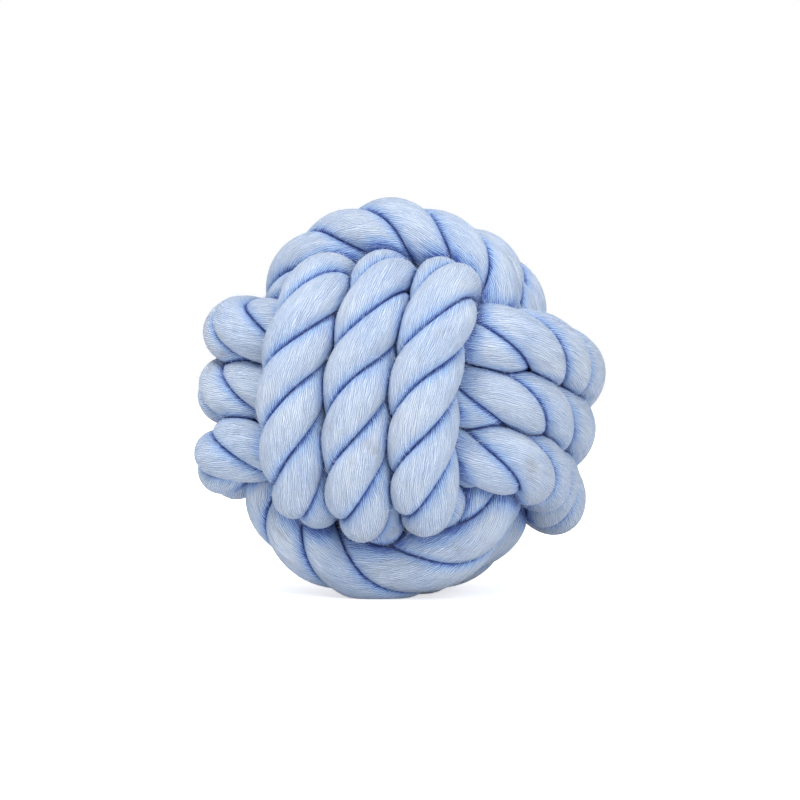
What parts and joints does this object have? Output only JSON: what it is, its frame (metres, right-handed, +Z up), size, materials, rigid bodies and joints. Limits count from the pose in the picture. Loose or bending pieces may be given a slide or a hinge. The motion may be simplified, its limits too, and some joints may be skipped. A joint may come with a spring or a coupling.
{
  "type": "rope ball dog toy",
  "caption": "Round dog toy of soft twisted cotton rope, tied in a ball knot of three interlocked bands of turns.",
  "frame": {"origin": "middle of the ball's bounding box in X and Y, at the flat of the three lowest turns", "axes": "+Z up, front is -Y, where the three upright turns lie outermost"},
  "size_m": [0.0896, 0.0902, 0.087],
  "materials": {
    "cotton_rope": "soft matte cotton yarn"
  },
  "bodies": {
    "root": {"core_coil": "cotton_rope", "core_lead": "cotton_rope", "level_turns": "cotton_rope", "crossover_to_upright": "cotton_rope", "upright_turns": "cotton_rope", "crossover_to_cross": "cotton_rope", "cross_turns": "cotton_rope", "tucked_end": "cotton_rope"}
  },
  "joints": []
}
